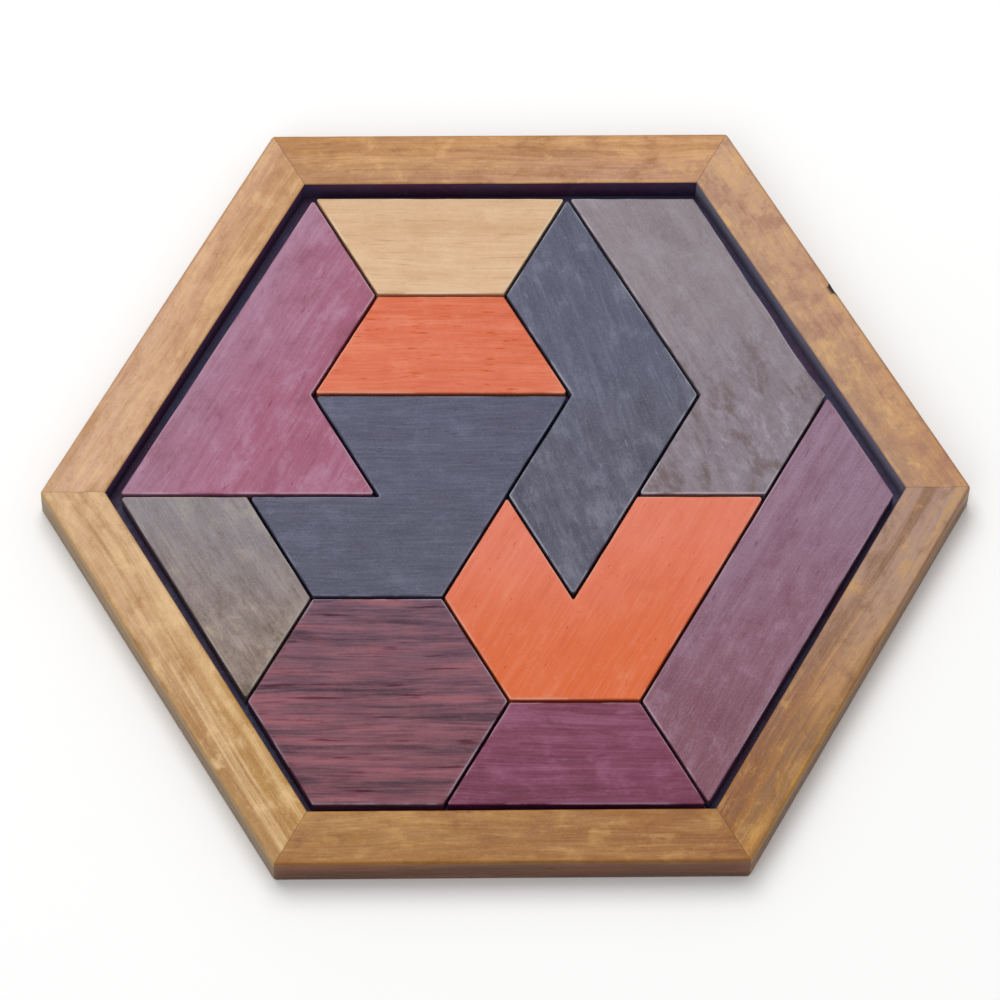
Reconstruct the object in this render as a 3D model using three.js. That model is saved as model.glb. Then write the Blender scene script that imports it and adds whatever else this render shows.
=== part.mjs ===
// A hexagonal wooden tray puzzle: six mitred rails round a black base board, and eleven stained hardwood
// tiles that together fill the tray. Millimetres, +Z up. The origin is under the middle of the tray, on the
// surface it rests on. +X runs from corner to corner, and the front, nearest the player, is towards -Y.

import * as THREE from "three";
import { mergeVertices } from "three/addons/utils/BufferGeometryUtils.js";

// The tray.
const CORNER_TO_CORNER = 185;
const TRAY_HEIGHT = 8;
const RAIL_WIDTH = 11.2;
const RAIL_TOP_EASE = 0.7; // the softened long edges on the upper side
const RAIL_BOTTOM_EASE = 0.3;
const MITRE_GAP = 0.3; // between one rail and the next

// The base board, let into a rebate under the rails' inner edges.
const BOARD_THICKNESS = 2;
const REBATE_WIDTH = 4;
const REBATE_PLAY = 0.3; // round the board's edge
const REBATE_HEADROOM = 0.1; // between the board and the rails above it

// The tiles. Every outline lies on one grid of equilateral triangles, three to a side of the tray.
const GRID_SIDE = 25.8;
const TILE_THICKNESS = 4;
const TILE_GAP = 0.6; // between one tile and the next
const TILE_LIFT = 0.05; // between the tiles and the board
const TILE_EASE = 0.4; // softened edge round both faces
const TILE_CORNER_RADIUS = 0.8;

// The tiles lie loose in the tray, so as a group they sit a little off its middle and not quite square to it.
const TILES_RIGHT = 0.2;
const TILES_FORWARD = 0.3;
const TILES_TURNED = -0.35; // degrees

const SIDES = 6;
const HALF_SIDE_ANGLE = Math.PI / SIDES;
const OUTER_INRADIUS = (CORNER_TO_CORNER / 2) * Math.cos(HALF_SIDE_ANGLE);
const INNER_INRADIUS = OUTER_INRADIUS - RAIL_WIDTH;
const GRID_ROW = GRID_SIDE * Math.sin(Math.PI / 3);

// One rail each 60 degrees, anticlockwise from the front.
const RAILS = [
  { name: "rail_front", colour: 0xa87849 },
  { name: "rail_front_right", colour: 0xa88060 },
  { name: "rail_back_right", colour: 0xbd9275 },
  { name: "rail_back", colour: 0xbf8e68 },
  { name: "rail_back_left", colour: 0xca9b77 },
  { name: "rail_front_left", colour: 0xc69e77 },
];

// Each tile's corners, anticlockwise, as [grid sides towards +X, grid rows towards +Y] from the middle.
const TILES = [
  { name: "mauve_arrow", colour: 0xa57387, corners: [[-1.5, 3], [-3, 0], [-1, 0], [-1.5, 1], [-1, 2]] },
  { name: "pale_trapezoid", colour: 0xd9b48f, corners: [[-1.5, 3], [-1, 2], [0, 2], [0.5, 3]] },
  { name: "red_trapezoid", colour: 0xda7557, corners: [[-1, 2], [-1.5, 1], [0.5, 1], [0, 2]] },
  {
    name: "slate_centre",
    colour: 0x5f5f71,
    corners: [[-1.5, 1], [-1, 0], [-2, 0], [-1.5, -1], [-0.5, -1], [0.5, 1]],
  },
  {
    name: "slate_chevron",
    colour: 0x666576,
    corners: [[0.5, 3], [0, 2], [0.5, 1], [0, 0], [0.5, -1], [1.5, 1]],
  },
  {
    name: "taupe_hook",
    colour: 0x8d828b,
    corners: [[0.5, 3], [1.5, 1], [1, 0], [2, 0], [2.5, 1], [1.5, 3]],
  },
  {
    name: "orange_vee",
    colour: 0xdb7658,
    corners: [[0, 0], [-0.5, -1], [0, -2], [1, -2], [2, 0], [1, 0], [0.5, -1]],
  },
  { name: "mauve_bar", colour: 0x8e6a7c, corners: [[2.5, 1], [1, -2], [1.5, -3], [3, 0]] },
  { name: "plum_trapezoid", colour: 0x7f485d, corners: [[0, -2], [-0.5, -3], [1.5, -3], [1, -2]] },
  {
    name: "rosewood_hexagon",
    colour: 0x78535e,
    corners: [[-1.5, -1], [-2, -2], [-1.5, -3], [-0.5, -3], [0, -2], [-0.5, -1]],
  },
  { name: "taupe_trapezoid", colour: 0x908384, corners: [[-3, 0], [-2, -2], [-1.5, -1], [-2, 0]] },
];

function wood(colour) {
  return new THREE.MeshStandardMaterial({ color: colour, roughness: 0.6, metalness: 0 });
}

// A mesh of one closed surface: only positions are kept, and shared corners are merged.
function closedMesh(name, geometry, material) {
  geometry.deleteAttribute("normal");
  geometry.deleteAttribute("uv");
  const merged = mergeVertices(geometry, 1e-4);
  merged.computeVertexNormals();
  const mesh = new THREE.Mesh(merged, material);
  mesh.name = name;
  return mesh;
}

// A rail's section, x outwards from the middle of the tray and y up: an L, open under its inner edge.
function railSection() {
  const rebateWall = INNER_INRADIUS + REBATE_WIDTH;
  const rebateCeiling = BOARD_THICKNESS + REBATE_HEADROOM;
  const section = new THREE.Shape();
  section.moveTo(rebateWall, 0);
  section.lineTo(OUTER_INRADIUS - RAIL_BOTTOM_EASE, 0);
  section.lineTo(OUTER_INRADIUS, RAIL_BOTTOM_EASE);
  section.lineTo(OUTER_INRADIUS, TRAY_HEIGHT - RAIL_TOP_EASE);
  section.quadraticCurveTo(OUTER_INRADIUS, TRAY_HEIGHT, OUTER_INRADIUS - RAIL_TOP_EASE, TRAY_HEIGHT);
  section.lineTo(INNER_INRADIUS + RAIL_TOP_EASE, TRAY_HEIGHT);
  section.quadraticCurveTo(INNER_INRADIUS, TRAY_HEIGHT, INNER_INRADIUS, TRAY_HEIGHT - RAIL_TOP_EASE);
  section.lineTo(INNER_INRADIUS, rebateCeiling);
  section.lineTo(rebateWall, rebateCeiling);
  section.closePath();
  return section;
}

// The front rail: its section drawn out along X, with each end cut on the mitre.
function railGeometry() {
  const geometry = new THREE.ExtrudeGeometry(railSection(), { depth: 1, bevelEnabled: false, curveSegments: 4 });
  const gapAlongRail = MITRE_GAP / 2 / Math.cos(HALF_SIDE_ANGLE);
  const points = geometry.attributes.position;
  for (let i = 0; i < points.count; i++) {
    const outwards = points.getX(i);
    const height = points.getY(i);
    const end = points.getZ(i) > 0.5 ? -1 : 1;
    const halfLength = outwards * Math.tan(HALF_SIDE_ANGLE) - gapAlongRail;
    points.setXYZ(i, end * halfLength, -outwards, height);
  }
  return geometry;
}

function rail({ name, colour }, index) {
  const mesh = closedMesh(name, railGeometry(), wood(colour));
  mesh.rotation.z = (index * 2 * Math.PI) / SIDES;
  return mesh;
}

function baseBoard() {
  const inradius = INNER_INRADIUS + REBATE_WIDTH - REBATE_PLAY;
  const circumradius = inradius / Math.cos(HALF_SIDE_ANGLE);
  const corners = Array.from({ length: SIDES }, (_, i) => {
    const angle = (i * 2 * Math.PI) / SIDES;
    return new THREE.Vector2(circumradius * Math.cos(angle), circumradius * Math.sin(angle));
  });
  const outline = new THREE.Shape(corners);
  const geometry = new THREE.ExtrudeGeometry(outline, { depth: BOARD_THICKNESS, bevelEnabled: false });
  const black = new THREE.MeshStandardMaterial({ color: 0x2c2a38, roughness: 0.9, metalness: 0 });
  return closedMesh("base_board", geometry, black);
}

// The corners of an anticlockwise outline moved inwards, so that each side comes in by the same amount.
function inset(corners, amount) {
  return corners.map((corner, i) => {
    const before = corners[(i + corners.length - 1) % corners.length];
    const after = corners[(i + 1) % corners.length];
    const arriving = corner.clone().sub(before).normalize();
    const leaving = after.clone().sub(corner).normalize();
    const turn = arriving.cross(leaving);
    return corner.clone().add(leaving.sub(arriving).multiplyScalar(amount / turn));
  });
}

// A closed shape through the corners, each rounded to the same radius.
function rounded(corners, radius) {
  const shape = new THREE.Shape();
  corners.forEach((corner, i) => {
    const before = corners[(i + corners.length - 1) % corners.length];
    const after = corners[(i + 1) % corners.length];
    const back = before.clone().sub(corner).normalize();
    const on = after.clone().sub(corner).normalize();
    const setback = radius / Math.tan(Math.acos(back.dot(on)) / 2);
    const start = back.multiplyScalar(setback).add(corner);
    const finish = on.multiplyScalar(setback).add(corner);
    if (i === 0) shape.moveTo(start.x, start.y);
    else shape.lineTo(start.x, start.y);
    shape.quadraticCurveTo(corner.x, corner.y, finish.x, finish.y);
  });
  shape.closePath();
  return shape;
}

function tile({ name, colour, corners }) {
  const onGrid = corners.map(([sides, rows]) => new THREE.Vector2(sides * GRID_SIDE, rows * GRID_ROW));
  const outline = rounded(inset(onGrid, TILE_GAP / 2), TILE_CORNER_RADIUS);
  const geometry = new THREE.ExtrudeGeometry(outline, {
    depth: TILE_THICKNESS - 2 * TILE_EASE,
    curveSegments: 4,
    bevelThickness: TILE_EASE,
    bevelSize: TILE_EASE,
    bevelOffset: -TILE_EASE,
    bevelSegments: 2,
  });
  geometry.translate(0, 0, TILE_EASE);
  return closedMesh(name, geometry, wood(colour));
}

const tray = new THREE.Group();
tray.add(baseBoard(), ...RAILS.map(rail));

const tiles = new THREE.Group();
tiles.position.set(TILES_RIGHT, -TILES_FORWARD, BOARD_THICKNESS + TILE_LIFT);
tiles.rotation.z = THREE.MathUtils.degToRad(TILES_TURNED);
tiles.add(...TILES.map(tile));

const group = new THREE.Group();
group.add(tray, tiles);

export default group;
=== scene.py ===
"""A hexagonal wooden tray puzzle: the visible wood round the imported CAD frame.

Every piece is built here in metres in the CAD frame, with its own X axis along its grain, so that one wood
material serves them all. Outlines and heights come from the CAD nodes that the pieces stand for.
"""

import math
import random

import bpy
import numpy as np
from mathutils import Matrix, Vector, geometry, noise


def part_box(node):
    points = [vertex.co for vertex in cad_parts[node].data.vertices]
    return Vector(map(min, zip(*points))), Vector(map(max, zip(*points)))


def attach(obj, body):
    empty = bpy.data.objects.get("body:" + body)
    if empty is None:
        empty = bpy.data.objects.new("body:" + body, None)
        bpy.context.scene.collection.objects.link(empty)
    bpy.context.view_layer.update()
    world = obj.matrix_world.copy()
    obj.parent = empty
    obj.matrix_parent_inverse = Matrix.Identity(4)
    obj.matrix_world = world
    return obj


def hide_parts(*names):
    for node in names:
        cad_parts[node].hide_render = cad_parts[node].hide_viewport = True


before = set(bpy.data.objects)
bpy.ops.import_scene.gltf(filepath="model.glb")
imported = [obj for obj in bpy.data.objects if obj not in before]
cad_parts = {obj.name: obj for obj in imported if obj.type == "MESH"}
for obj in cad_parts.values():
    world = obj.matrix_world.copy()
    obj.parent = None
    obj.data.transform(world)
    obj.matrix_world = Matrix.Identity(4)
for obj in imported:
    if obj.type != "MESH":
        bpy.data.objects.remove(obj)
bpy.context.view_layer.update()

MM = 0.001
SIDES = 6
SIXTH_TURN = math.tau / SIDES
HALF_SIDE_ANGLE = SIXTH_TURN / 2

# The rails.
MITRE_GAP = 0.06 * MM
OUTER_ARRIS = 0.65 * MM
INNER_ARRIS = 0.4 * MM
BOTTOM_ARRIS = 0.3 * MM
OUTER_CORNER_RADIUS = 1 * MM
REBATE_PLAY = 0.3 * MM
REBATE_HEADROOM = 0.1 * MM
WALL_FADE = (0.8 * MM, 2.5 * MM)  # below the outer arris, where the wall's painted shade is nearly full, and full
BESIDE_OUTER_ARRIS = 0.8 * MM  # where the top is almost free of the pale edge line, which is partly rubbing and partly a painted highlight
BESIDE_INNER_ARRIS = 0.6 * MM
LINING_FOOT = 1.2 * MM  # the lowest part of the inner wall
RAIL_WANDER = 0.05 * MM  # how far the worn edges wander from straight
RAIL_WAVES = (9 * MM, 6 * MM, 4 * MM)  # how long those wanderings are, along, across and up
RAIL_DIP = 0.03 * MM  # how unevenly the top is levelled
RAIL_DIP_WAVES = (14 * MM, 5 * MM)
STATION_SPACING = 2 * MM
END_STATIONS = (0, 0.15, 0.35, 0.6, 0.9, 1.3, 1.9)  # millimetres from a rail's mitred end
RAIL_SWAY = 14  # millimetres that the figure moves a rail's colour across
OWN_WOOD, RECESS_LINING = 0, 1  # the materials of a rail
WALL_ON_ARRIS = 0.6  # how much of the wall's painted shade its outer arris still has

# The one dark mark, on a rail's top outer edge.
MARK_HALF_LENGTH = 1.5 * MM
MARK_HALF_WIDTH = 0.55 * MM
MARK_INSET = 0.3 * MM
MARK_REACH_DOWN = 2 * MM
MARK_DIP = 0.3 * MM
MARK_STEP = 0.2 * MM
MARK_STEPS = 10

# The tiles.
TILE_ARRIS = 0.36 * MM
TILE_BOTTOM_ARRIS = 0.2 * MM
TILE_WANDER = 0.09 * MM
TILE_WAVE = 7 * MM  # how long the wanderings of its sides are
TILE_DIP = 0.03 * MM
TILE_DIP_WAVE = 11 * MM
TILE_WALL_TOP = 0.6 * MM  # below the arris
BESIDE_TILE_ARRIS = (0.35 * MM, 0.9 * MM)
BOTTOM_UNEVENNESS = 0.4  # of what a tile's sides have near the top
RUB_RIPPLE, RUB_RIPPLES = 0.25, 19  # how much a rubbed side's depth ripples, and through how many radians
RUB_GROWTH, RUB_END = 1.5, 9  # how its depth grows towards the front end, and how quickly it stops there
SIDE_SPACING = 1 * MM
FACE_SPACING = 2.2 * MM
FACE_SCATTER = 0.15  # of a face step
CORNER_RADII = (0.3 * MM, 0.6 * MM)
LEAST_RADIUS = 0.05 * MM
HOLLOW_RADIUS = 0.25 * MM
ARC_STEPS = 5
LEAST_SIDE = 3 * MM  # anything shorter on a CAD outline is part of a rounded corner
LEVEL_PLAY = 0.01 * MM  # between heights on a CAD wall that count as the same
NEAR_ENOUGH = 1e-9  # metres between points that the top's triangles treat as one
FIRST_SEED = 11

# How strongly the edges are rubbed and catch the light, from 0 to 1: their paler line is partly real rubbing
# and partly a painted highlight.
# An arris has two values. On a rail's inner arris they are for where it meets the top and where it meets the
# wall, and on the others for both its borders and its middle.
OUTER_ARRIS_WEAR_AND_GLINT = (0.25, 1)
INNER_ARRIS_WEAR_AND_GLINT = (0.3, 1)
TILE_ARRIS_WEAR_AND_GLINT = (0.1, 1)
WEAR_AND_GLINT_BESIDE_ARRIS = 0.1
WEAR_AND_GLINT_ON_WALL = 0.15
WEAR_AND_GLINT_ON_TILE_RIM = 0.03

BOARD_EASE = 0.15 * MM  # the base board's softened edges
SMOOTH_ANGLE = math.radians(38)  # edges that turn further than this look sharp

# The camera: a long lens, high above the front rail.
CAMERA_TILT = math.radians(25.46)  # away from straight down
CAMERA_TURN = math.radians(1.07)
CAMERA_ROLL = math.radians(0.89)
CAMERA_DISTANCE = 1367 * MM
CAMERA_LENS = 247.2
CAMERA_LEFT = 1.15 * MM
CAMERA_DOWN = 0.6 * MM
AIM_HEIGHT = 4.5 * MM
SENSOR_WIDTH = 36
NEAREST_SEEN, FURTHEST_SEEN = 0.05, 20

# The studio. Each light has its place, its size and its power.
LIGHTS = {"overhead": ((-0.15, 0.45, 1.1), 0.8, 8), "fill": ((-0.5, -0.9, 0.9), 0.9, 2.4)}
SKY_STRENGTH = 0.5
FLOOR_HALF_SIZE = 3.0
FLOOR_CLEARANCE = 0.02 * MM
GLOSS_LIGHT = 0.036  # the studio's light that satin wood reflects on top of its own colour
DARKEST = 0.005

# The sizes that the frame gives.
rail_low, rail_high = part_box("rail_front")
rail_outer, rail_inner = -rail_low.y, -rail_high.y
tray_height = rail_high.z
board_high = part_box("base_board")[1]
rebate_wall = board_high.y + REBATE_PLAY
rebate_ceiling = board_high.z + REBATE_HEADROOM


# ---------------------------------------------------------------- node helpers


def linear(colour):
    """A colour written as #rrggbb as linear red, green, blue and alpha, less the light that gloss adds."""
    parts = [int(colour[i : i + 2], 16) / 255 for i in (1, 3, 5)]
    parts = [part / 12.92 if part <= 0.04045 else ((part + 0.055) / 1.055) ** 2.4 for part in parts]
    return [max(part - GLOSS_LIGHT, DARKEST) for part in parts] + [1]


class Shader:
    """The node tree of one material, with short calls for the nodes that the materials here use."""

    def __init__(self, name):
        self.material = bpy.data.materials.new(name)
        self.material.use_nodes = True
        self.tree = self.material.node_tree
        self.surface = self.tree.nodes["Principled BSDF"].inputs

    def node(self, kind, **settings):
        made = self.tree.nodes.new("ShaderNode" + kind)
        for name, value in settings.items():
            setattr(made, name, value)
        return made

    def feed(self, socket, value):
        if isinstance(value, bpy.types.NodeSocket):
            self.tree.links.new(value, socket)
        else:
            socket.default_value = value

    def place(self, offset):
        """The piece's own coordinates in millimetres, moved to its own part of the patterns."""
        coordinates = self.node("TexCoord").outputs["Object"]
        return self.vector("MULTIPLY_ADD", coordinates, [1 / MM] * 3, offset)

    def vector(self, operation, *values):
        made = self.node("VectorMath", operation=operation)
        for socket, value in zip(made.inputs, values):
            self.feed(socket, value)
        return made.outputs["Value"] if operation == "DOT_PRODUCT" else made.outputs["Vector"]

    def math(self, operation, *values):
        made = self.node("Math", operation=operation)
        for socket, value in zip(made.inputs, values):
            self.feed(socket, value)
        return made.outputs[0]

    def swing(self, pattern, reach):
        """A pattern from 0 to 1 as a distance, from half the reach one way to half of it the other."""
        return self.math("MULTIPLY", self.math("SUBTRACT", pattern, 0.5), reach)

    def noise(self, place, stretch, detail=2.0, roughness=0.5, distortion=0.0):
        """Noise from 0 to 1 with these many features a millimetre along, across and through the piece."""
        made = self.node("TexNoise")
        self.feed(made.inputs["Vector"], self.vector("MULTIPLY", place, stretch))
        self.feed(made.inputs["Scale"], 1.0)
        self.feed(made.inputs["Detail"], detail)
        self.feed(made.inputs["Roughness"], roughness)
        self.feed(made.inputs["Distortion"], distortion)
        return made.outputs["Fac"]

    def remap(self, value, low, high, to_low=0.0, to_high=1.0):
        made = self.node("MapRange", interpolation_type="SMOOTHSTEP")
        for socket, number in zip(made.inputs, (value, low, high, to_low, to_high)):
            self.feed(socket, number)
        return made.outputs[0]

    def mix(self, share, first, second):
        made = self.node("Mix", data_type="RGBA", clamp_factor=True)
        sockets = {socket.identifier: socket for socket in made.inputs}
        self.feed(sockets["Factor_Float"], share)
        self.feed(sockets["A_Color"], first)
        self.feed(sockets["B_Color"], second)
        return next(socket for socket in made.outputs if socket.identifier == "Result_Color")

    def tint(self, colour, pattern, spread, amount, tones):
        """Takes a colour to the dark tone where a pattern is high, and to the light one where it is low."""
        dark, light = tones
        darkened = self.mix(self.remap(pattern, 0.5, 0.5 + spread, 0, amount), colour, dark)
        return self.mix(self.remap(pattern, 0.5, 0.5 - spread, 0, amount), darkened, light)

    def painted(self, name):
        """A share from 0 to 1 that the mesh code stored on the piece's vertices."""
        return self.node("Attribute", attribute_name=name).outputs["Fac"]

    def bump(self, height, depth):
        made = self.node("Bump")
        self.feed(made.inputs["Strength"], 1.0)
        self.feed(made.inputs["Distance"], depth)
        self.feed(made.inputs["Height"], height)
        return made.outputs["Normal"]

    def finish(self, colour, roughness, height=None, depth=0):
        """Sets the surface's colour, roughness and, with a height pattern, its relief."""
        self.feed(self.surface["Base Color"], colour)
        self.feed(self.surface["Roughness"], roughness)
        if height is not None:
            self.feed(self.surface["Normal"], self.bump(height, depth))
        return self.material


# ------------------------------------------------------------------ materials

# How strong each layer of the grain is, and how many features it has a millimetre along, across and through.
PLAIN_WOOD = {
    "towards": -90, "reach": 24, "sway": RAIL_SWAY, "wander": 5, "wear_and_glint": 0.85, "roughness": 0.5,
    "streak": 0.3, "streak_size": [0.02, 0.35, 0.35], "mottle": 0.4, "fibre": 0.2, "grit": 0.2,
    "pore": 0.5, "pore_size": [0.45, 2.4, 2.4], "pore_edge": 0.67,
    "fleck": 0.3, "fleck_size": [0.4, 1.3, 1.3], "fleck_edge": 0.66,
}
WANDER_SIZE = [0.02, 0.05, 0.05]
MOTTLE_SIZE = [0.14, 0.2, 0.2]
FIBRE_SIZE = [0.09, 1.9, 1.9]
GRIT_SIZE = [2.2, 2.8, 2.8]
RUBBED_SIZE = [0.07, 0.07, 0.07]
FLECK_SHIFT = [71, 37, 13]  # keeps the flecks off the pores
SATIN_SPECULAR = 0.3
GRAIN_DEPTH = 0.05 * MM


def tile_ground(shader, place, look):
    """A tile's stain before any grain: one colour at the far side that turns into another near the front."""
    towards = math.radians(look["towards"])
    direction = Vector((math.cos(towards), math.sin(towards), 0))
    direction.rotate(Matrix.Rotation(-math.radians(look["grain"]), 3, "Z"))
    blotches = shader.swing(shader.noise(place, [0.05] * 3, detail=2), look["reach"])
    along = shader.math("ADD", shader.vector("DOT_PRODUCT", place, direction), blotches)
    centre = Vector(look["offset"]).dot(direction)
    share = shader.remap(along, centre - look["reach"], centre + look["reach"])
    return shader.mix(share, linear(look["far"]), linear(look["near"])), share


def rail_ground(shader, place, look):
    """A rail's colour before any fine grain: it changes from end to end and from the inside outwards."""
    separate = shader.node("SeparateXYZ")
    shader.feed(separate.inputs[0], place)
    figure = shader.noise(place, [0.03, 0.25, 0.25], detail=3, distortion=0.4)
    sway = shader.swing(figure, look["sway"])
    along = shader.math("ADD", separate.outputs[0], shader.math("MULTIPLY", sway, 4))
    across = shader.math("ADD", separate.outputs[1], sway)
    start, side, _ = look["offset"]
    reach = 0.8 * rail_outer * math.tan(HALF_SIDE_ANGLE) / MM
    share_along = shader.remap(along, start - reach, start + reach)
    share_across = shader.remap(across, side - rail_inner / MM - 1, side - rail_outer / MM + 1)
    inner, outer = (shader.mix(share_along, *map(linear, look[edge])) for edge in ("inner", "outer"))
    return shader.mix(share_across, inner, outer), 1.0


def figured(shader, place, look, colour, nearness):
    """Adds the uneven dark and light figure of some woods, as strongly as the ground is near the front."""
    figure = shader.noise(place, look["figure_size"], detail=5, roughness=0.7, distortion=0.15)
    browned = shader.mix(shader.remap(figure, 0.48, 0.66), colour, linear(look["figure_dark"]))
    browned = shader.mix(shader.remap(figure, 0.46, 0.3), browned, linear(look["figure_light"]))
    return shader.mix(shader.math("MULTIPLY", nearness, look["figure"]), colour, browned)


def glinting_worn_edges(shader, place, look, colour):
    """Adds the paler line along the edges, where patches of them are rubbed more than others; the line is
    partly real rubbing and partly a painted highlight on the rounded edges.
    """
    patches = shader.noise(place, RUBBED_SIZE, detail=4, roughness=0.65)
    patches = shader.remap(patches, 0.42, 0.58, 0.08, 1)
    worn_and_glinting = shader.math("MULTIPLY", shader.painted("worn_and_glinting"), patches)
    return shader.mix(shader.math("MULTIPLY", worn_and_glinting, look["wear_and_glint"]), colour, linear(look["worn_and_glinting"]))


def paint_outer_wall_shade(shader, look, colour, streaks, fibres):
    """Paints shade on a rail's outer wall: a darker colour that stands in for the shade on a wall that faces
    sideways, and keeps its streaks and fibres.
    """
    # The rail's "wall" colour: the painted shade of its outer wall.
    stain = linear(look["wall"])[:3]
    deep_shade, light_shade = ([part * share for part in stain] + [1] for share in (0.7, 1.3))
    shaded_wall = shader.mix(shader.remap(streaks, 0.38, 0.62), deep_shade, light_shade)
    shaded_wall = shader.mix(shader.remap(fibres, 0.48, 0.68, 0, 0.6), shaded_wall, deep_shade)
    return shader.mix(shader.painted("wall"), colour, shaded_wall)


def wood(name, look, ground):
    """Satin wood with its grain along the piece's X axis, a paler line along its edges that is partly rubbing
    and partly a painted highlight, and on a rail painted shade on its outer wall.
    """
    shader = Shader(name)
    place = shader.place(look["offset"])
    colour, nearness = ground(shader, place, look)
    tones = linear(look["dark"]), linear(look["light"])
    wander = shader.noise(place, WANDER_SIZE, detail=1)
    shift = shader.node("CombineXYZ")
    shader.feed(shift.inputs[1], shader.swing(wander, look["wander"]))
    fibre_place = shader.vector("ADD", place, shift.outputs[0])

    streaks = shader.noise(fibre_place, look["streak_size"], detail=3, roughness=0.6)
    colour = shader.tint(colour, streaks, 0.18, look["streak"], tones)
    mottle = shader.noise(place, MOTTLE_SIZE, detail=5, roughness=0.7, distortion=0.25)
    colour = shader.tint(colour, mottle, 0.2, look["mottle"], tones)
    if "figure" in look:
        colour = figured(shader, place, look, colour, nearness)
    fibres = shader.noise(fibre_place, FIBRE_SIZE, detail=3, roughness=0.65)
    colour = shader.tint(colour, fibres, 0.25, look["fibre"], tones)
    grit = shader.noise(place, GRIT_SIZE, detail=2, roughness=0.6)
    colour = shader.tint(colour, grit, 0.25, look["grit"], tones)

    pores = shader.noise(fibre_place, look["pore_size"], detail=2, roughness=0.5)
    pores = shader.remap(pores, look["pore_edge"], look["pore_edge"] + 0.1, 0, look["pore"])
    colour = shader.mix(pores, colour, linear(look.get("pore_colour", look["dark"])))
    fleck_place = shader.vector("ADD", fibre_place, FLECK_SHIFT)
    flecks = shader.noise(fleck_place, look["fleck_size"], detail=2, roughness=0.5)
    flecks = shader.remap(flecks, look["fleck_edge"], look["fleck_edge"] + 0.09, 0, look["fleck"])
    colour = shader.mix(flecks, colour, linear(look["light"]))

    # The paler edge line: partly real rubbing, partly a painted highlight.
    colour = glinting_worn_edges(shader, place, look, colour)
    # Painted shade: a rail's outer wall is darkened, and lighter near its top arris.
    if "wall" in look:
        colour = paint_outer_wall_shade(shader, look, colour, streaks, fibres)
    if "scar" in look:
        colour = shader.mix(shader.painted("scar"), colour, linear(look["scar"]))
    height = shader.math("MULTIPLY", shader.math("ADD", fibres, mottle), 0.5)
    height = shader.math("SUBTRACT", height, shader.math("MULTIPLY", pores, 0.9))
    satin = look["roughness"]
    roughness = shader.math("ADD", shader.remap(fibres, 0.3, 0.7, satin - 0.07, satin + 0.07), pores)
    shader.feed(shader.surface["Specular IOR Level"], SATIN_SPECULAR)
    return shader.finish(colour, shader.math("MINIMUM", roughness, 1), height, GRAIN_DEPTH)


def recess_stain(name, slate, purple, scuff):
    """The dark stain of the recess: the board's upper face and the rails' inner walls."""
    shader = Shader(name)
    place = shader.place([40, 10, 0])
    blotches = shader.noise(place, [0.04] * 3, detail=3)
    colour = shader.mix(shader.remap(blotches, 0.35, 0.65), linear(slate), linear(purple))
    scuffs = shader.noise(place, [0.5, 0.7, 0.7], detail=4, roughness=0.7)
    colour = shader.mix(shader.remap(scuffs, 0.55, 0.8, 0, 0.5), colour, linear(scuff))
    return shader.finish(colour, shader.remap(scuffs, 0.3, 0.7, 0.55, 0.8), scuffs, 0.04 * MM)


def fibreboard():
    """The bare underside and edge of the base board: pressed fibres of mixed browns."""
    shader = Shader("fibreboard")
    place = shader.place([5, 80, 0])
    clumps = shader.noise(place, [0.15] * 3, detail=4, roughness=0.65)
    colour = shader.mix(shader.remap(clumps, 0.3, 0.7), linear("#8d6b4a"), linear("#a98761"))
    fibres = shader.noise(place, [1.1, 2.4, 1.6], detail=4, roughness=0.7, distortion=1.2)
    colour = shader.mix(shader.remap(fibres, 0.5, 0.7, 0, 0.6), colour, linear("#6a4c33"))
    colour = shader.mix(shader.remap(fibres, 0.42, 0.25, 0, 0.6), colour, linear("#c4a57e"))
    return shader.finish(colour, shader.remap(fibres, 0.3, 0.7, 0.7, 0.9), fibres, 0.05 * MM)


def pale_floor():
    shader = Shader("pale_floor")
    cloud = shader.noise(shader.place([0, 0, 0]), [0.01] * 3, detail=3)
    colour = shader.mix(cloud, [0.97, 0.97, 0.965, 1], [1, 1, 1, 1])
    return shader.finish(colour, shader.remap(cloud, 0.3, 0.7, 0.85, 0.95))


# ---------------------------------------------------------------- mesh helpers


def new_piece(name, vertices, faces, materials, face_materials=None, painted=None):
    """A smooth-shaded object of these vertices and faces, with the shares to store on its vertices."""
    mesh = bpy.data.meshes.new(name)
    mesh.from_pydata(vertices, [], faces)
    for material in materials:
        mesh.materials.append(material)
    if face_materials:
        mesh.polygons.foreach_set("material_index", face_materials)
    for attribute, shares in (painted or {}).items():
        mesh.attributes.new(attribute, "FLOAT", "POINT").data.foreach_set("value", shares)
    mesh.validate()
    mesh.shade_smooth()
    mesh.set_sharp_from_angle(angle=SMOOTH_ANGLE)
    piece = bpy.data.objects.new(name, mesh)
    bpy.context.scene.collection.objects.link(piece)
    return piece


def stand_for(piece, node, body):
    """The piece takes the CAD node's place: it joins the node's body, and the node is hidden."""
    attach(piece, body)
    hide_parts(node)


def quarter(steps):
    """The cosine and sine of angles from 0 to a quarter turn."""
    for step in range(steps + 1):
        angle = math.pi / 2 * step / steps
        yield math.cos(angle), math.sin(angle)


def between(ends, share):
    return ends[0] + (ends[1] - ends[0]) * share


def bands(around, rings):
    """The faces between rings of points that follow one another, then the cap on the first ring."""
    faces = []
    for start in range(0, (rings - 1) * around, around):
        for j in range(around):
            k = (j + 1) % around
            faces.append((start + j, start + k, start + around + k, start + around + j))
    faces.append(tuple(range(around - 1, -1, -1)))
    return faces


def last_cap(around, rings):
    return tuple((rings - 1) * around + j for j in range(around))


# ---------------------------------------------------------------------- rails


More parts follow.
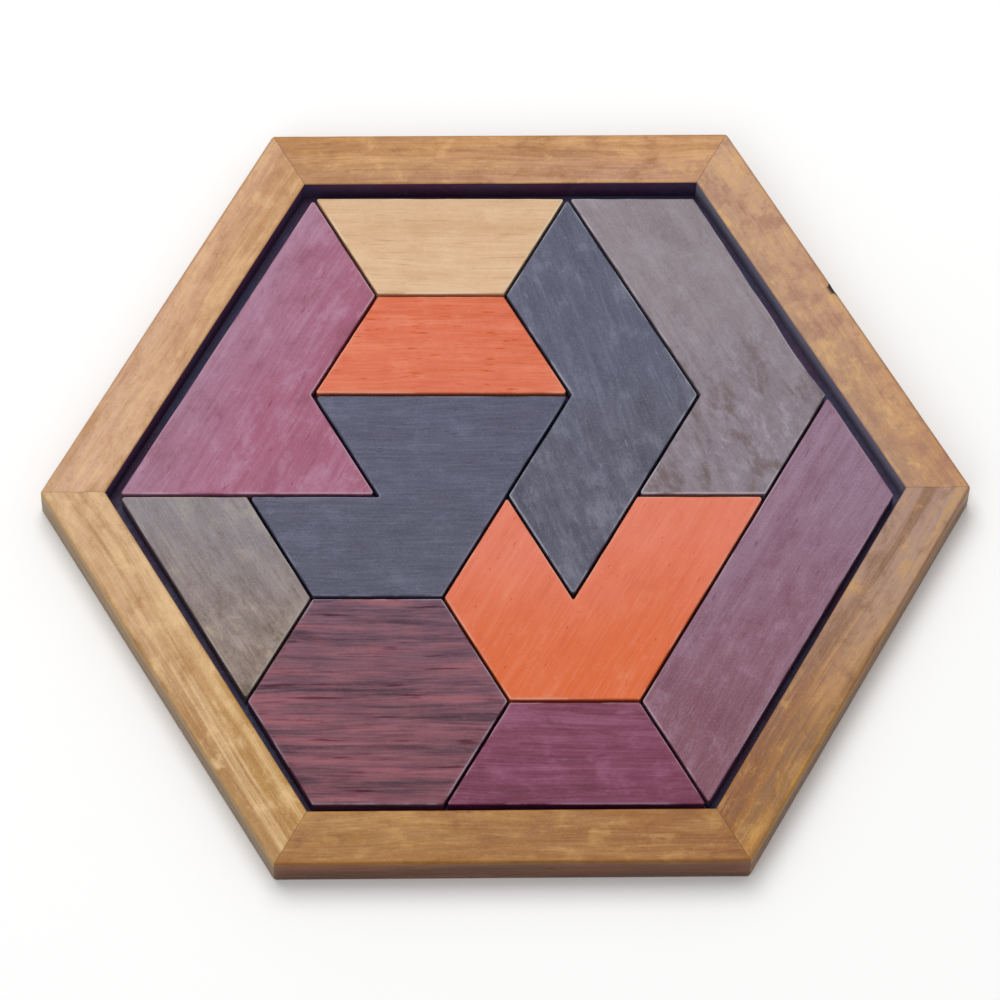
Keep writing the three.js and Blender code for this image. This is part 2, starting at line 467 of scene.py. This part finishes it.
def outer_side(wall_top):
    """A rail's outer wall and arris from the bottom up: out, up, how rubbed and glinting, how much of the
    wall's painted shade, and material.
    """
    points = []
    for across, up in quarter(3):
        out = rail_outer - BOTTOM_ARRIS * (1 - up)
        points.append((out, BOTTOM_ARRIS * (1 - across), 0, 1, OWN_WOOD))
    # The outer wall's painted shade is full low down and fades towards the arris.
    points.append((rail_outer, wall_top - WALL_FADE[1], 0, 1, OWN_WOOD))
    points.append((rail_outer, wall_top - WALL_FADE[0], WEAR_AND_GLINT_ON_WALL, 0.85, OWN_WOOD))
    for across, up in quarter(6):
        out = rail_outer - OUTER_ARRIS * (1 - across)
        wear_and_glint = between(OUTER_ARRIS_WEAR_AND_GLINT, 2 * up * across)
        points.append((out, wall_top + up * OUTER_ARRIS, wear_and_glint, WALL_ON_ARRIS * across, OWN_WOOD))
    return points


def inner_side():
    """A rail's inner arris and wall, from the top down to the rebate, in the same terms."""
    points = []
    for across, up in quarter(5):
        out = rail_inner + INNER_ARRIS * (1 - up)
        height = tray_height - INNER_ARRIS * (1 - across)
        material = OWN_WOOD if up < 0.9 else RECESS_LINING
        points.append((out, height, between(INNER_ARRIS_WEAR_AND_GLINT, up), 0, material))
    points.append((rail_inner, rebate_ceiling + LINING_FOOT, 0, 0, RECESS_LINING))
    points.append((rail_inner, rebate_ceiling, 0, 0, OWN_WOOD))
    return points


def rail_section():
    """Round a rail's section, from the foot of its rebate outwards and back over the top."""
    points = [(rebate_wall, 0, 0, 0, OWN_WOOD)]
    points += outer_side(tray_height - OUTER_ARRIS)
    beside_outer = rail_outer - OUTER_ARRIS - BESIDE_OUTER_ARRIS
    points.append((beside_outer, tray_height, WEAR_AND_GLINT_BESIDE_ARRIS, 0, OWN_WOOD))
    for share in (0.25, 0.5, 0.75):
        points.append((between((rail_outer, rail_inner), share), tray_height, 0, 0, OWN_WOOD))
    beside_inner = rail_inner + INNER_ARRIS + BESIDE_INNER_ARRIS
    points.append((beside_inner, tray_height, WEAR_AND_GLINT_BESIDE_ARRIS, 0, OWN_WOOD))
    points += inner_side()
    points.append((rebate_wall, rebate_ceiling, 0, 0, OWN_WOOD))
    return points


def along_rail(share, out):
    """How far along a rail this share of its half length is. A rail grows longer outwards, to its mitres."""
    return share * (out * math.tan(HALF_SIDE_ANGLE) - MITRE_GAP / 2 / math.cos(HALF_SIDE_ANGLE))


def rounded_corner(x, out):
    """A point of a rail drawn in to the radius of the tray's outer vertical corner."""
    bisector = Vector((math.copysign(math.sin(HALF_SIDE_ANGLE), x), math.cos(HALF_SIDE_ANGLE)))
    corner = Vector((math.copysign(rail_outer * math.tan(HALF_SIDE_ANGLE), x), rail_outer))
    centre = corner - bisector * OUTER_CORNER_RADIUS / math.cos(HALF_SIDE_ANGLE)
    reach = Vector((x, out)) - centre
    allowed = OUTER_CORNER_RADIUS - (rail_outer - out)
    if reach.dot(bisector) > reach.length * math.cos(HALF_SIDE_ANGLE) and reach.length > allowed > 0:
        reach *= allowed / reach.length
    return centre + reach


def uneven_rail(seed, x, out, up, wear_and_glint):
    """A point of a rail's section moved a little: its rubbed edges wander inwards, and its top dips."""
    wave, dip_wave = RAIL_WAVES, RAIL_DIP_WAVES
    wander = abs(noise.noise(seed + Vector((x / wave[0], out / wave[1], up / wave[2])))) * RAIL_WANDER
    dip = (0.5 + noise.noise(seed + Vector((x / dip_wave[0], out / dip_wave[1], 3.3)))) * RAIL_DIP
    if wear_and_glint and up > rebate_ceiling:
        out += -wander if out > (rail_outer + rail_inner) / 2 else wander
    if up > tray_height - OUTER_ARRIS:
        up -= max(dip, 0)
    return out, up


def mark_share(mark, x, out, up):
    """How strongly a rail's dark mark, at this share of its half length, shows at a point: from 0 to 1."""
    if mark is None or up <= tray_height - MARK_REACH_DOWN:
        return 0
    along = (x - mark * rail_inner * math.tan(HALF_SIDE_ANGLE)) / MARK_HALF_LENGTH
    across = (rail_outer - MARK_INSET - out) / MARK_HALF_WIDTH
    return max(0, 1 - along**2 - across**2)


def stations(mark):
    """Shares of a rail's half length, from -1 to 1, that have a section: closer at the ends and at a mark."""
    half = (rail_outer + rail_inner) / 2 * math.tan(HALF_SIDE_ANGLE)
    ends = [1 - distance * MM / half for distance in END_STATIONS]
    count = round(2 * ends[-1] * half / STATION_SPACING)
    shares = ends + [-end for end in ends] + [ends[-1] * (2 * i / count - 1) for i in range(1, count)]
    if mark is not None:
        shares += [mark + step * MARK_STEP / half for step in range(-MARK_STEPS, MARK_STEPS + 1)]
    return sorted({round(share, 5) for share in shares})


def rail_mesh(name, index, look, materials):
    section = rail_section()
    seed = Vector((index * 17.3, 5.1, 0))
    mark = look.get("mark")
    cuts = stations(mark)
    vertices = []
    # Shares on the vertices: the pale edge line (partly a painted highlight), the outer wall's painted shade,
    # and the dark mark.
    painted = {"worn_and_glinting": [], "wall": [], "scar": []}
    for share in cuts:
        for out, up, wear_and_glint, wall, _ in section:
            x = along_rail(share, out)
            out, up = uneven_rail(seed, x, out, up, wear_and_glint)
            marked = mark_share(mark, x, out, up)
            x, out = rounded_corner(along_rail(share, out), out)
            vertices.append((x, -out, up - MARK_DIP * marked))
            painted["worn_and_glinting"].append(wear_and_glint)
            painted["wall"].append(wall)
            painted["scar"].append(min(1, marked * 4))
    around = len(section)
    faces = bands(around, len(cuts)) + [last_cap(around, len(cuts))]
    face_materials = [point[-1] for point in section] * (len(cuts) - 1) + [OWN_WOOD, OWN_WOOD]
    return new_piece(name, vertices, faces, materials, face_materials, painted)


# Each rail's colours along its inner and its outer edge, at one end and then, anticlockwise, at the other.
# Its "wall" colour is painted shade on its outer wall.
RAIL_LOOKS = {
    "rail_front": {
        "inner": ("#ac7e4c", "#9e6b3e"), "outer": ("#a47441", "#956132"), "dark": "#875628",
        "light": "#c3945a", "wall": "#6e4a10", "figure": 0.5, "figure_size": [0.12, 0.5, 0.5],
        "figure_dark": "#946338", "figure_light": "#c89b62",
    },
    "rail_front_right": {
        "inner": ("#85532f", "#ab8b7d"), "outer": ("#c68f42", "#ad8f82"), "dark": "#84604a",
        "light": "#cb9d5c", "wall": "#7d5a20", "sway": 6, "streak": 0.75,
        "streak_size": [0.012, 0.32, 0.32],
    },
    "rail_back_right": {
        "inner": ("#b08b70", "#bb957b"), "outer": ("#bb8c68", "#c69d80"), "dark": "#a37a62",
        "light": "#d3a877", "wall": "#8b5c30", "mark": 0.13, "scar": "#1b1510", "figure": 0.8,
        "figure_size": [0.22, 0.22, 0.22], "figure_dark": "#a67b68", "figure_light": "#d8ab74",
    },
    "rail_back": {
        "inner": ("#b78973", "#b5855f"), "outer": ("#d19e70", "#b98652"), "dark": "#986642",
        "light": "#dcae78", "wall": "#8b5c30", "streak": 0.6, "figure": 0.5,
        "figure_size": [0.08, 0.3, 0.3], "figure_dark": "#a9785a", "figure_light": "#d9a872",
    },
    "rail_back_left": {
        "inner": ("#bf8c5e", "#cfa583"), "outer": ("#c7997a", "#cfa78c"), "dark": "#a97a50",
        "light": "#dfb889", "wall": "#9a7350", "streak": 0.55, "figure": 0.45,
        "figure_size": [0.14, 0.3, 0.3], "figure_dark": "#ad7c56", "figure_light": "#d9ae7e",
    },
    "rail_front_left": {
        "inner": ("#d4ae86", "#b68847"), "outer": ("#cba37c", "#a87b4c"), "dark": "#a17443",
        "light": "#e4c290", "wall": "#8f7350", "streak": 0.7, "streak_size": [0.01, 0.5, 0.5],
    },
}
RAIL_WOOD = {
    "grain": 0, "roughness": 0.42, "wear_and_glint": 0.4, "pore": 0.3, "pore_edge": 0.66, "mottle": 0.65, "fleck": 0.15,
}


def make_rails(black):
    # A lighter copy of the recess stain for the back-right rail's inner wall: painted light, for the light
    # that falls on that wall.
    painted_lit_lining = recess_stain("painted_lit_lining", "#8b8a9e", "#827e94", "#a3a1b0")
    for index, (name, own_look) in enumerate(RAIL_LOOKS.items()):
        offset = [index * 230 + 60, index * 90, index * 40]
        look = PLAIN_WOOD | RAIL_WOOD | own_look | {"offset": offset, "worn_and_glinting": own_look["light"]}
        lining = painted_lit_lining if name == "rail_back_right" else black
        piece = rail_mesh(name, index, look, [wood(name + "_wood", look, rail_ground), lining])
        piece.rotation_euler.z = index * SIXTH_TURN
        stand_for(piece, name, "tray")


# ---------------------------------------------------------------------- tiles


def cad_sides(node):
    """The straight sides of a CAD tile seen from above, anticlockwise, as pairs of points at its wall."""
    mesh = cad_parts[node].data
    walls = [face for face in mesh.polygons if abs(face.normal.z) < 0.1]
    wall_top = max(mesh.vertices[v].co.z for face in walls for v in face.vertices)
    sides = []
    for face in walls:
        corners = [mesh.vertices[v].co for v in face.vertices]
        top = [corner.xy for corner in corners if corner.z > wall_top - LEVEL_PLAY]
        if len(top) == 2 and (top[1] - top[0]).length > LEAST_SIDE:
            backwards = (top[1] - top[0]).cross(face.normal.xy) > 0
            sides.append(top[::-1] if backwards else top)
    ordered = [sides.pop()]
    while sides:
        gaps = [(start - ordered[-1][1]).length for start, _ in sides]
        ordered.append(sides.pop(gaps.index(min(gaps))))
    return ordered


def line_crossing(a, b, c, d):
    """Where the endless line through a and b crosses the one through c and d."""
    along, other = b - a, d - c
    share = (c - a).cross(other) / along.cross(other)
    return a + along * share


def sharp_corners(sides):
    """Where each straight side would meet the next."""
    return [line_crossing(*side, *following) for side, following in zip(sides, sides[1:] + sides[:1])]


def turn_at(corners, i):
    """The directions in and out at a corner of an anticlockwise outline."""
    arriving = (corners[i] - corners[i - 1]).normalized()
    leaving = (corners[(i + 1) % len(corners)] - corners[i]).normalized()
    return arriving, leaving


def inset_corners(corners, amount):
    """The corners moved so that each side comes in by the same amount."""
    moved = []
    for i, corner in enumerate(corners):
        arriving, leaving = turn_at(corners, i)
        moved.append(corner + (leaving - arriving) * amount / arriving.cross(leaving))
    return moved


def corner_arc(corners, i, radius):
    """Points round one corner of an outline."""
    arriving, leaving = turn_at(corners, i)
    half = math.acos(-arriving.dot(leaving)) / 2
    centre = corners[i] + (leaving - arriving).normalized() * radius / math.sin(half)
    first = (corners[i] - arriving * radius / math.tan(half) - centre).normalized()
    last = (corners[i] + leaving * radius / math.tan(half) - centre).normalized()
    return [centre + first.slerp(last, step / ARC_STEPS) * radius for step in range(ARC_STEPS + 1)]


def outline(corners, radii, side_steps):
    """Points round a tile: an arc at each corner, and a set number of steps along each side."""
    arcs = [corner_arc(corners, i, radius) for i, radius in enumerate(radii)]
    points = []
    for arc, following, steps in zip(arcs, arcs[1:] + arcs[:1], side_steps):
        points += arc
        points += [arc[-1].lerp(following[0], step / steps) for step in range(1, steps)]
    return points


def outward_directions(ring):
    """The direction straight out of an anticlockwise ring at each of its points."""
    neighbours = zip(ring[-1:] + ring[:-1], ring[1:] + ring[:1])
    along = [(after - before).normalized() for before, after in neighbours]
    return [Vector((direction.y, -direction.x)) for direction in along]


def well_inside(points, ring):
    """Which points are inside a ring of points, and at least half a face step away from it."""
    finishes = np.roll(ring, -1, axis=0)
    sides = finishes - ring
    away = points[:, None] - ring
    share = np.clip((away * sides).sum(2) / (sides**2).sum(1), 0, 1)
    gaps = np.linalg.norm(away - share[..., None] * sides, axis=2)
    height = points[:, None, 1]
    spans = (ring[:, 1] > height) != (finishes[:, 1] > height)
    rise = np.where(sides[:, 1] == 0, 1, sides[:, 1])
    crossings = spans & (away[..., 0] < sides[:, 0] * away[..., 1] / rise)
    return (crossings.sum(1) % 2 == 1) & (gaps.min(1) > FACE_SPACING / 2)


def face_points(ring, pick):
    """Scattered points over the flat of a tile, in loose rows."""
    ring = np.array(ring)
    low, high = ring.min(0), ring.max(0)
    columns, rows = ((high - low) / FACE_SPACING).astype(int) + 2
    grid = []
    for row in range(rows):
        for column in range(columns):
            x = column + 0.5 * (row % 2) + pick.uniform(-FACE_SCATTER, FACE_SCATTER)
            grid.append((x, row + pick.uniform(-FACE_SCATTER, FACE_SCATTER)))
    grid = low + np.array(grid) * FACE_SPACING
    return [Vector(point) for point in grid[well_inside(grid, ring)]]


def tile_profile(bottom, top):
    """From the bottom face's edge up to the top face's: how far in, how high, and how rubbed and glinting,
    which is partly a painted highlight.
    """
    rings = []
    for across, up in quarter(2):
        rings.append((TILE_BOTTOM_ARRIS * (1 - up), bottom + TILE_BOTTOM_ARRIS * (1 - across), 0))
    rings.append((0, top - TILE_ARRIS - TILE_WALL_TOP, 0))
    for across, up in quarter(5):
        wear_and_glint = between(TILE_ARRIS_WEAR_AND_GLINT, 2 * across * up)
        rings.append((TILE_ARRIS * (1 - across), top - TILE_ARRIS * (1 - up), wear_and_glint))
    rings.append((TILE_ARRIS + BESIDE_TILE_ARRIS[0], top, WEAR_AND_GLINT_ON_TILE_RIM))
    rings.append((TILE_ARRIS + BESIDE_TILE_ARRIS[1], top, 0))
    return rings


def rub_side(edge, outwards, uneven, facing, depth):
    """Adds to the unevenness of the side that faces that way in degrees, and most near its front end."""
    ahead = Vector((math.cos(math.radians(facing)), math.sin(math.radians(facing))))
    along = Vector((ahead.y, -ahead.x))
    on_side = [i for i, outward in enumerate(outwards) if outward.dot(ahead) > 0.99]
    reaches = [edge[i].dot(along) for i in on_side]
    first, last = min(reaches), max(reaches)
    for i, reach in zip(on_side, reaches):
        share = (reach - first) / (last - first)
        ripple = 1 + RUB_RIPPLE * math.sin(share * RUB_RIPPLES)
        uneven[i] += depth * MM * ripple * share**RUB_GROWTH * min(1, (1 - share) * RUB_END)


def ring_radius(radius, inset, is_hollow):
    """A corner's radius on a ring that has come in: larger at a hollow corner, and smaller at any other."""
    return radius + inset if is_hollow else max(radius - inset, LEAST_RADIUS)


def tile_walls(corners, look, bottom, top, seed, pick):
    """A tile's rings from its bottom to its top face: the points, how rubbed and glinting each is, and how
    many go round.
    """
    turns = [turn_at(corners, i) for i in range(len(corners))]
    hollow = [arriving.cross(leaving) < 0 for arriving, leaving in turns]
    radii = [HOLLOW_RADIUS if is_hollow else pick.uniform(*CORNER_RADII) for is_hollow in hollow]
    lengths = [(following - corner).length for corner, following in zip(corners, corners[1:] + corners[:1])]
    side_steps = [max(1, round(length / SIDE_SPACING)) for length in lengths]
    edge = outline(corners, radii, side_steps)
    outwards = outward_directions(edge)
    uneven = [abs(noise.noise(seed + (point / TILE_WAVE).to_3d())) * TILE_WANDER for point in edge]
    if "rubbed" in look:
        rub_side(edge, outwards, uneven, *look["rubbed"])
    points, worn_and_glinting = [], []
    for inset, up, wear_and_glint in tile_profile(bottom, top):
        ring_radii = [ring_radius(radius, inset, is_hollow) for radius, is_hollow in zip(radii, hollow)]
        ring = outline(inset_corners(corners, inset), ring_radii, side_steps)
        share = 1 if up > bottom + MM else BOTTOM_UNEVENNESS
        for point, outward, amount in zip(ring, outwards, uneven):
            points.append(Vector((*(point - outward * amount * share), up)))
            worn_and_glinting.append(wear_and_glint)
    return points, worn_and_glinting, len(edge)


def tile_top(vertices, worn_and_glinting, around, top, seed, pick):
    """Adds points over a tile's slightly dipped top, and gives the triangles that join them to its rim."""
    first = len(vertices) - around
    ring = [vertex.xy for vertex in vertices[first:]]
    rim = [(j, (j + 1) % around) for j in range(around)]
    loose = face_points(ring, pick)
    flat, _, triangles, source, *_ = geometry.delaunay_2d_cdt(ring + loose, rim, [], 1, NEAR_ENOUGH)
    number = {}
    for new, old in enumerate(source):
        if old and old[0] < around:
            number[new] = first + old[0]
        else:
            number[new] = len(vertices)
            dip = TILE_DIP * (0.6 + noise.noise(seed + Vector((*(flat[new] / TILE_DIP_WAVE), 2))))
            vertices.append(Vector((*flat[new], top - max(dip, 0))))
            worn_and_glinting.append(0)
    return [tuple(number[v] for v in triangle) for triangle in triangles]


def make_tile(name, look, pick):
    low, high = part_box(name)
    centre = (low + high) / 2
    turn = Matrix.Rotation(math.radians(look["grain"]), 3, "Z")
    seed = Vector((pick.uniform(0, 90), pick.uniform(0, 90), 0))
    corners = sharp_corners(cad_sides(name))
    vertices, worn_and_glinting, around = tile_walls(corners, look, low.z, high.z, seed, pick)
    faces = bands(around, len(vertices) // around)
    faces += tile_top(vertices, worn_and_glinting, around, high.z, seed, pick)
    own = [turn.transposed() @ (vertex - centre) for vertex in vertices]
    piece = new_piece(name, own, faces, [wood(name + "_wood", look, tile_ground)], painted={"worn_and_glinting": worn_and_glinting})
    piece.matrix_world = Matrix.Translation(centre) @ turn.to_4x4()
    stand_for(piece, name, name)


# Each tile's stain at its far and near side, its grain's direction in degrees, and its own settings for the
# wood; its pale edge colour is partly rubbing and partly a painted highlight.
# "rubbed" is the direction that a rubbed side faces, in degrees, and its depth in millimetres.
TILE_LOOKS = {
    "mauve_arrow": {
        "grain": 60, "far": "#a3627a", "near": "#a68096", "dark": "#88505f", "light": "#b98fa6",
        "towards": 150, "worn_and_glinting": "#d0aabb", "reach": 15, "streak": 0.25, "mottle": 0.5, "fibre": 0.12,
        "pore": 0.35, "pore_size": [0.3, 1.1, 1.1],
    },
    "pale_trapezoid": {
        "grain": 0, "far": "#d7b28d", "near": "#dbb591", "dark": "#c39b72", "light": "#e6c6a4",
        "worn_and_glinting": "#f4e2c6", "streak": 0.35, "fibre": 0.3, "pore": 0.45, "pore_size": [0.1, 1.9, 1.9],
        "pore_colour": "#b48d68", "pore_edge": 0.64,
    },
    "red_trapezoid": {
        "grain": 0, "far": "#d76c4c", "near": "#dc795b", "dark": "#c85d3d", "light": "#e78d70",
        "worn_and_glinting": "#f3ab93", "streak": 0.4, "fibre": 0.25, "pore": 0.5, "pore_size": [0.2, 1.2, 1.2],
        "pore_colour": "#bf5437", "pore_edge": 0.63,
    },
    "slate_centre": {
        "grain": 0, "far": "#5b5b6e", "near": "#5a5a6a", "dark": "#50505f", "light": "#707387",
        "worn_and_glinting": "#8f93a6", "streak": 0.15, "fibre": 0.1, "grit": 0.5, "mottle": 0.5, "pore": 0.3,
        "fleck": 0.3,
    },
    "slate_chevron": {
        "grain": 108, "far": "#5e6073", "near": "#615f6d", "dark": "#535362", "light": "#7b7d8e",
        "worn_and_glinting": "#b0b4c2", "streak": 0.25, "fibre": 0.08, "grit": 0.45, "mottle": 0.65, "pore": 0.4,
        "fleck": 0.9, "fleck_edge": 0.68, "figure": 0.8, "figure_size": [0.12, 0.2, 0.2],
        "figure_dark": "#51505e", "figure_light": "#7f7d8c",
    },
    "taupe_hook": {
        "grain": 118, "far": "#90868a", "near": "#887c84", "dark": "#7b6f78", "light": "#a097a1",
        "worn_and_glinting": "#c6bfc8", "streak": 0.2, "fibre": 0.08, "mottle": 0.6, "grit": 0.35, "pore": 0.3,
        "fleck": 0.3, "reach": 16, "figure": 0.75, "figure_size": [0.13, 0.24, 0.24],
        "figure_dark": "#6c5a57", "figure_light": "#a59ba4", "rubbed": (30, 0.75),
    },
    "orange_vee": {
        "grain": 60, "far": "#e07e67", "near": "#da6c42", "dark": "#ce6040", "light": "#e88c6e",
        "worn_and_glinting": "#f4b09a", "reach": 18, "streak": 0.15, "fibre": 0.12, "mottle": 0.3, "pore": 0.75,
        "pore_edge": 0.69, "pore_colour": "#a8452f",
    },
    "mauve_bar": {
        "grain": 60, "far": "#94788d", "near": "#855a65", "dark": "#784d5e", "light": "#a58599",
        "worn_and_glinting": "#c1a8b6", "reach": 42, "streak": 0.35, "fibre": 0.12, "mottle": 0.5, "grit": 0.4,
        "pore": 0.35, "pore_size": [0.3, 1.1, 1.1],
    },
    "plum_trapezoid": {
        "grain": 0, "far": "#844a60", "near": "#784156", "dark": "#693848", "light": "#98607a",
        "worn_and_glinting": "#bb90a4", "streak": 0.55, "fibre": 0.3, "mottle": 0.6, "pore": 0.4, "fleck": 0.4,
        "fleck_size": [0.15, 1.4, 1.4],
    },
    "rosewood_hexagon": {
        "grain": 0, "far": "#735664", "near": "#7c4f59", "dark": "#4f3644", "light": "#9a5f68",
        "worn_and_glinting": "#b9a9b8", "streak": 0.9, "streak_size": [0.03, 0.42, 0.42], "fibre": 0.55,
        "mottle": 0.3, "pore": 0.5, "pore_size": [0.08, 1.1, 1.1], "pore_colour": "#4a3340",
        "pore_edge": 0.62, "wander": 3,
    },
    "taupe_trapezoid": {
        "grain": 120, "far": "#8d858c", "near": "#8f7c72", "dark": "#776a64", "light": "#a99d95",
        "worn_and_glinting": "#c0b6ae", "reach": 20, "streak": 0.35, "fibre": 0.2, "mottle": 0.6, "grit": 0.35,
        "pore": 0.6, "fleck": 0.45, "figure": 0.9, "figure_size": [0.2, 0.35, 0.35],
        "figure_dark": "#6a5b4d", "figure_light": "#b5a58e",
    },
}


def make_tiles():
    for seed, (name, own_look) in enumerate(TILE_LOOKS.items(), FIRST_SEED):
        pick = random.Random(seed)
        offset = [pick.uniform(100, 900) for _ in range(3)]
        make_tile(name, PLAIN_WOOD | own_look | {"offset": offset}, pick)


# ----------------------------------------------------------------- base board


def make_base_board(black):
    """A thin hexagon with softened edges, black above and bare fibreboard below."""
    levels = [(BOARD_EASE, 0), (0, BOARD_EASE), (0, board_high.z - BOARD_EASE), (BOARD_EASE, board_high.z)]
    vertices = []
    for inset, up in levels:
        reach = board_high.x - inset / math.cos(HALF_SIDE_ANGLE)
        for i in range(SIDES):
            vertices.append((reach * math.cos(i * SIXTH_TURN), reach * math.sin(i * SIXTH_TURN), up))
    faces = bands(SIDES, len(levels)) + [last_cap(SIDES, len(levels))]
    face_materials = [1] * (len(faces) - 1) + [0]
    board = new_piece("base_board", vertices, faces, [black, fibreboard()], face_materials)
    stand_for(board, "base_board", "tray")


# --------------------------------------------------------------------- studio


def make_camera():
    turn = (
        Matrix.Rotation(-CAMERA_TILT, 3, "X")
        @ Matrix.Rotation(CAMERA_TURN, 3, "Y")
        @ Matrix.Rotation(CAMERA_ROLL, 3, "Z")
    )
    right, up, back = turn
    spot = Vector((0, 0, AIM_HEIGHT)) + back * CAMERA_DISTANCE - right * CAMERA_LEFT - up * CAMERA_DOWN
    camera = bpy.data.objects.new("camera", bpy.data.cameras.new("camera"))
    camera.data.lens = CAMERA_LENS
    camera.data.sensor_width = SENSOR_WIDTH
    camera.data.clip_start = NEAREST_SEEN
    camera.data.clip_end = FURTHEST_SEEN
    camera.matrix_world = Matrix.Translation(spot) @ turn.transposed().to_4x4()
    bpy.context.scene.collection.objects.link(camera)
    bpy.context.scene.camera = camera


def area_light(name, place, size, power):
    """A square light that shines on the middle of the tray."""
    light = bpy.data.lights.new(name, "AREA")
    light.size = size
    light.energy = power
    lamp = bpy.data.objects.new(name, light)
    lamp.location = place
    lamp.rotation_euler = (-Vector(place)).to_track_quat("-Z", "Y").to_euler()
    bpy.context.scene.collection.objects.link(lamp)


def make_studio():
    world = bpy.data.worlds.new("studio")
    world.use_nodes = True
    sky = world.node_tree.nodes["Background"].inputs
    sky["Color"].default_value = (1, 1, 1, 1)
    sky["Strength"].default_value = SKY_STRENGTH
    bpy.context.scene.world = world
    bpy.context.scene.view_settings.view_transform = "Standard"
    for name, (place, size, power) in LIGHTS.items():
        area_light(name, place, size, power)
    signs = ((-1, -1), (1, -1), (1, 1), (-1, 1))
    corners = [(x * FLOOR_HALF_SIZE, y * FLOOR_HALF_SIZE, -FLOOR_CLEARANCE) for x, y in signs]
    new_piece("floor", corners, [(0, 1, 2, 3)], [pale_floor()])


make_camera()
make_studio()
black_stain = recess_stain("black_stain", "#504f6a", "#573f58", "#6d6b82")
make_base_board(black_stain)
make_rails(black_stain)
make_tiles()
